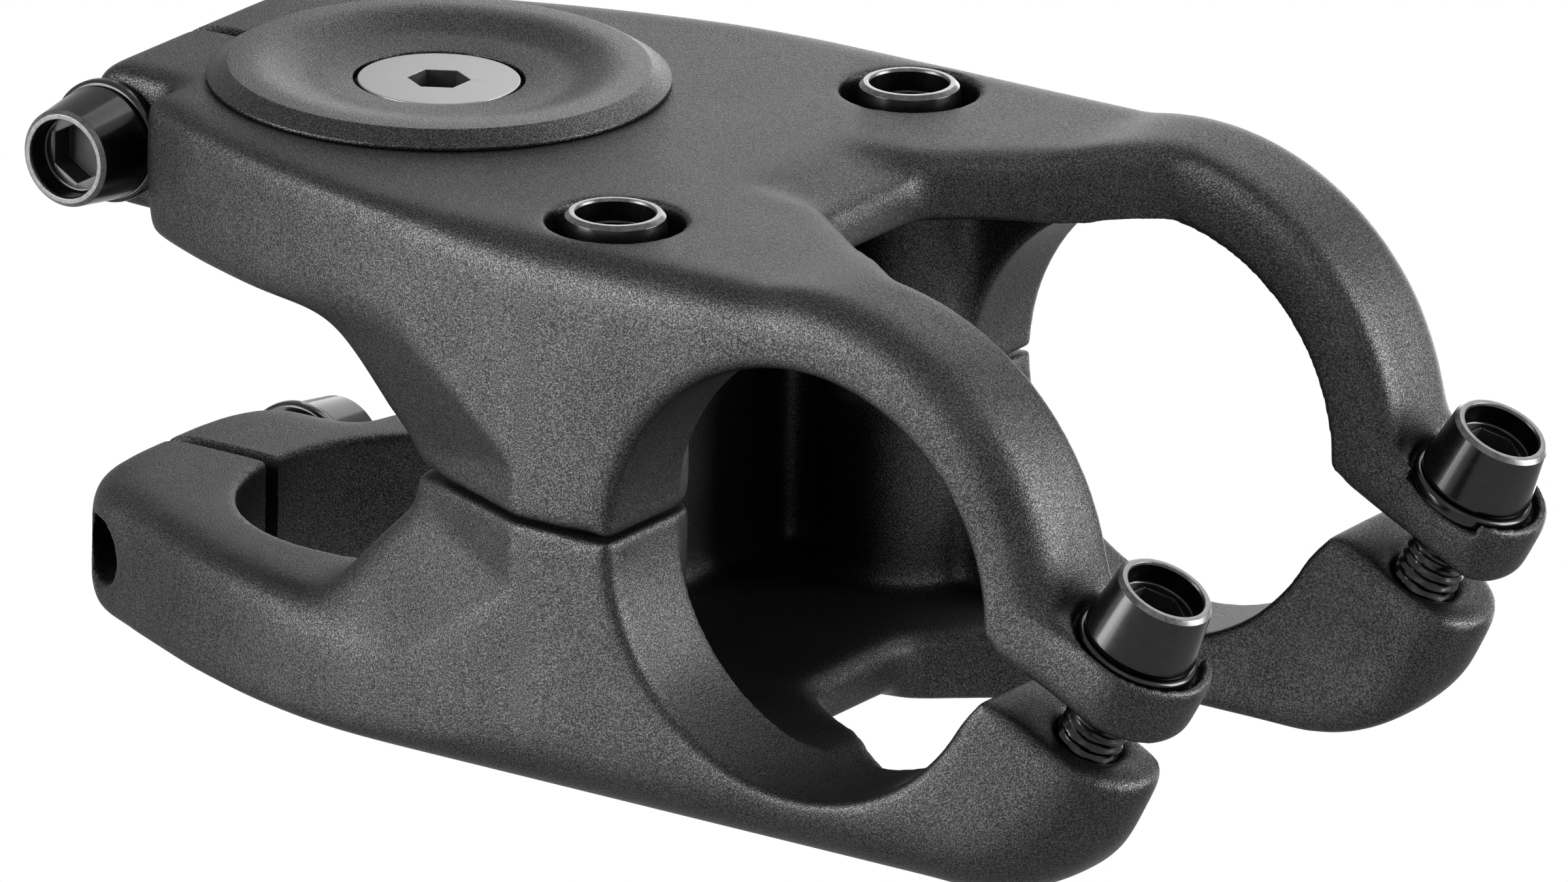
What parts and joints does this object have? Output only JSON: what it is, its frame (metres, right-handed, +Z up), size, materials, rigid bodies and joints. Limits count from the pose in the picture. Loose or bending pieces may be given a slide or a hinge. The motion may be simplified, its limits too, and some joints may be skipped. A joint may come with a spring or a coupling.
{
  "type": "bicycle handlebar stem",
  "caption": "Two-piece bicycle stem whose upper and lower halves clamp the handlebar between four arms and grip the steerer with two slotted rings.",
  "frame": {"origin": "on the steerer axis, at the bottom face of the lower steerer ring", "axes": "+X forward from the steerer to the bar, +Y to the rider's left, +Z up the steerer"},
  "size_m": [0.1064, 0.055, 0.0431],
  "materials": {
    "body": "bead-blasted black anodised",
    "cap": "bead-blasted black anodised",
    "bolt": "glossy black",
    "washer": "glossy black",
    "cap_bolt": "satin"
  },
  "bodies": {
    "stem_body": {"upper_half": "body", "lower_half": "body"},
    "cap": {"top_cap": "cap"},
    "cap_bolt": {"top_cap_bolt": "cap_bolt"},
    "deck_left_washer": {"deck_washer_left": "washer"},
    "deck_left_bolt": {"deck_bolt_left": "bolt"},
    "deck_right_washer": {"deck_washer_right": "washer"},
    "deck_right_bolt": {"deck_bolt_right": "bolt"},
    "front_left_washer": {"front_washer_left": "washer"},
    "front_left_bolt": {"front_bolt_left": "bolt"},
    "front_right_washer": {"front_washer_right": "washer"},
    "front_right_bolt": {"front_bolt_right": "bolt"},
    "upper_pinch_washer": {"upper_pinch_washer": "washer"},
    "upper_pinch_bolt": {"upper_pinch_bolt": "bolt"},
    "lower_pinch_washer": {"lower_pinch_washer": "washer"},
    "lower_pinch_bolt": {"lower_pinch_bolt": "bolt"}
  },
  "joints": [
    {"name": "cap_lift", "type": "slide", "parent": "stem_body", "child": "cap", "axis": [0, 0, 1], "range_m": [0, 0.03]},
    {"name": "cap_bolt_turn", "type": "hinge", "parent": "cap", "child": "cap_bolt", "pos_m": [0, 0, 0.0418], "axis": [0, 0, 1], "continuous": true},
    {"name": "deck_left_travel", "type": "slide", "parent": "stem_body", "child": "deck_left_washer", "axis": [0, 0, 1], "range_m": [0, 0.004]},
    {"name": "deck_left_turn", "type": "hinge", "parent": "deck_left_washer", "child": "deck_left_bolt", "pos_m": [0.0284, 0.0188, 0.0363], "axis": [0, 0, 1], "range_deg": [0, 1800]},
    {"name": "deck_right_travel", "type": "slide", "parent": "stem_body", "child": "deck_right_washer", "axis": [0, 0, 1], "range_m": [0, 0.004]},
    {"name": "deck_right_turn", "type": "hinge", "parent": "deck_right_washer", "child": "deck_right_bolt", "pos_m": [0.0284, -0.0188, 0.0363], "axis": [0, 0, 1], "range_deg": [0, 1800]},
    {"name": "front_left_travel", "type": "slide", "parent": "stem_body", "child": "front_left_washer", "axis": [0.4462, 0, 0.8949], "range_m": [0, 0.004]},
    {"name": "front_left_turn", "type": "hinge", "parent": "front_left_washer", "child": "front_left_bolt", "pos_m": [0.0753, 0.0219, 0.0197], "axis": [0.4462, 0, 0.8949], "range_deg": [0, 1800]},
    {"name": "front_right_travel", "type": "slide", "parent": "stem_body", "child": "front_right_washer", "axis": [0.4462, 0, 0.8949], "range_m": [0, 0.004]},
    {"name": "front_right_turn", "type": "hinge", "parent": "front_right_washer", "child": "front_right_bolt", "pos_m": [0.0753, -0.0219, 0.0197], "axis": [0.4462, 0, 0.8949], "range_deg": [0, 1800]},
    {"name": "upper_pinch_travel", "type": "slide", "parent": "stem_body", "child": "upper_pinch_washer", "axis": [0, -1, 0], "range_m": [0, 0.004]},
    {"name": "upper_pinch_turn", "type": "hinge", "parent": "upper_pinch_washer", "child": "upper_pinch_bolt", "pos_m": [-0.0205, -0.0119, 0.0363], "axis": [0, -1, 0], "range_deg": [0, 1800]},
    {"name": "lower_pinch_travel", "type": "slide", "parent": "stem_body", "child": "lower_pinch_washer", "axis": [0, 1, 0], "range_m": [0, 0.004]},
    {"name": "lower_pinch_turn", "type": "hinge", "parent": "lower_pinch_washer", "child": "lower_pinch_bolt", "pos_m": [-0.0205, 0.0119, 0.0049], "axis": [0, 1, 0], "range_deg": [0, 1800]}
  ],
  "couplings": [
    {"joint": "deck_left_turn", "follows": "deck_left_travel", "rad_per_m": 7854},
    {"joint": "deck_right_turn", "follows": "deck_right_travel", "rad_per_m": 7854},
    {"joint": "front_left_turn", "follows": "front_left_travel", "rad_per_m": 7854},
    {"joint": "front_right_turn", "follows": "front_right_travel", "rad_per_m": 7854},
    {"joint": "upper_pinch_turn", "follows": "upper_pinch_travel", "rad_per_m": 7854},
    {"joint": "lower_pinch_turn", "follows": "lower_pinch_travel", "rad_per_m": 7854}
  ]
}
